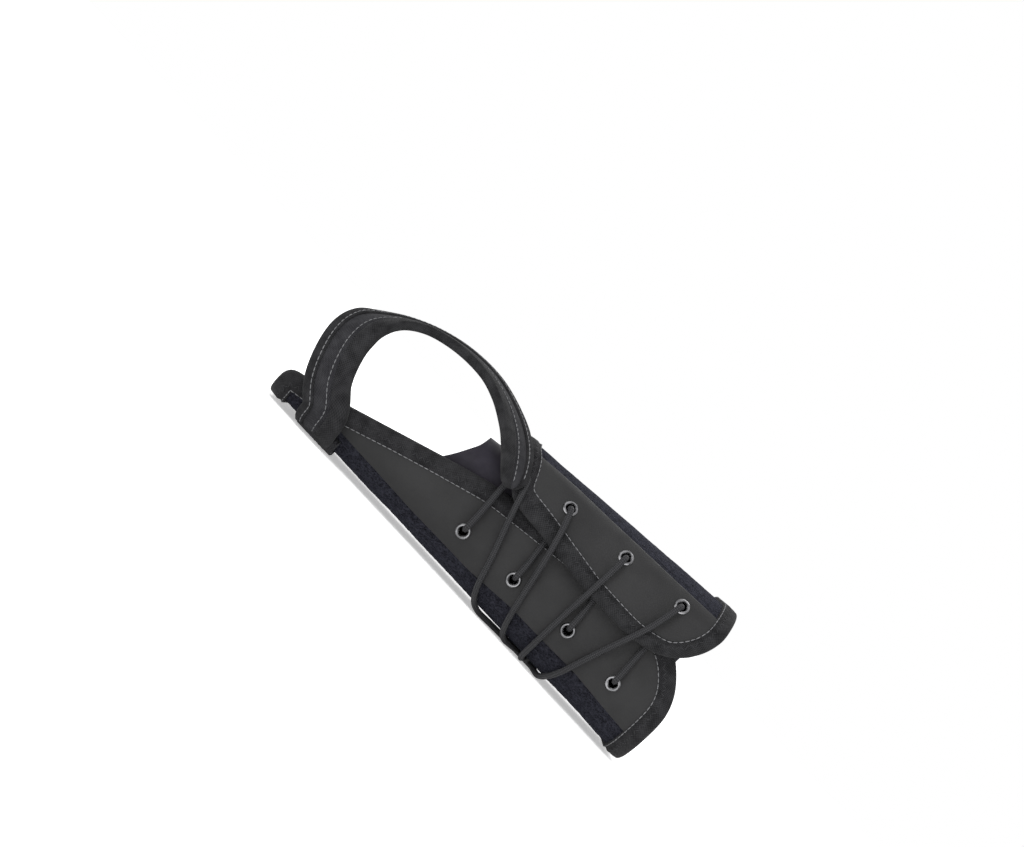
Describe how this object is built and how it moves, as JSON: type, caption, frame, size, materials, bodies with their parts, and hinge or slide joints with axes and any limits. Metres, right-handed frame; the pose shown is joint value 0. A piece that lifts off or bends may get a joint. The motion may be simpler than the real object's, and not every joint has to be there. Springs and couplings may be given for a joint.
{
  "type": "wrist splint",
  "caption": "Laced wrist splint for a left arm: soft dorsal shell, hinged palmar flap, thumb strap, elastic cords through eyelets and a hook-fastened pull tab.",
  "frame": {"origin": "on the plane the splint lies on, under the arm's axis, about midway along the splint", "axes": "+X from the hand to the elbow along the arm, +Z from the back of the hand to the palm, -Y to the thumb side"},
  "size_m": [0.2001, 0.0973, 0.082],
  "materials": {
    "loop_laminate": "brushed loop foam laminate, nearly black with a navy cast",
    "facing_leatherette": "smooth dark grey leatherette with a fine grain",
    "edge_tape": "folded knit binding tape with a stitch line",
    "lining": "smooth knit lining",
    "neoprene": "smooth neoprene with a purple-black cast",
    "stretch_mesh": "elastic side panel",
    "elastic_cord": "braided elastic cord",
    "webbing": "soft laminated strap webbing",
    "eyelet_metal": "gunmetal rolled eyelets with a bright rim",
    "stay_metal": "malleable flat stay",
    "hook_tape": "moulded hook tape",
    "yoke_plastic": "satin moulded plastic",
    "grip_rubber": "matte rubber"
  },
  "bodies": {
    "dorsal_shell": {"dorsal_panel": "loop_laminate", "dorsal_liner": "lining", "dorsal_facing": "facing_leatherette", "dorsal_binding": "edge_tape", "tongue": "neoprene", "ulnar_gusset": "stretch_mesh", "dorsal_eyelets": "eyelet_metal", "dorsal_washers": "eyelet_metal", "lace_knots": "elastic_cord", "lace_1": "elastic_cord", "lace_2": "elastic_cord", "lace_3": "elastic_cord", "lace_4": "elastic_cord", "dorsal_stay_pocket": "lining", "dorsal_stay": "stay_metal", "thumb_strap_anchor": "webbing"},
    "palmar_flap": {"palmar_panel": "loop_laminate", "palmar_liner": "lining", "palmar_facing": "facing_leatherette", "palmar_binding": "edge_tape", "palmar_eyelets": "eyelet_metal", "palmar_washers": "eyelet_metal", "palmar_stay_pocket": "lining", "palmar_stay": "stay_metal"},
    "thumb_strap": {"thumb_strap": "webbing", "thumb_strap_binding": "edge_tape"},
    "lace_yoke": {"lace_yoke": "yoke_plastic"},
    "pull_tab": {"pull_tab": "webbing", "pull_tab_hook_patch": "hook_tape", "pull_tab_grip": "grip_rubber"}
  },
  "joints": [
    {"name": "palmar_flap_hinge", "type": "hinge", "parent": "dorsal_shell", "child": "palmar_flap", "pos_m": [0.036, 0.041, 0.042], "axis": [-1, 0, 0], "range_deg": [0, 40], "deforming": ["ulnar_gusset", "lace_1", "lace_2", "lace_3", "lace_4"]},
    {"name": "thumb_strap_hinge", "type": "hinge", "parent": "dorsal_shell", "child": "thumb_strap", "pos_m": [-0.0775, -0.0355, 0.006], "axis": [1, 0, 0], "range_deg": [0, 35], "deforming": ["lace_1"]},
    {"name": "lace_yoke_slide", "type": "slide", "parent": "dorsal_shell", "child": "lace_yoke", "axis": [0, 1, 0], "range_m": [0, 0.015], "stiffness_N_per_m": 200, "deforming": ["lace_1", "lace_2", "lace_3", "lace_4"]},
    {"name": "pull_tab_hinge", "type": "hinge", "parent": "lace_yoke", "child": "pull_tab", "pos_m": [0.043, 0, 0.00063], "axis": [-1, 0, 0], "range_deg": [0, 60]}
  ]
}
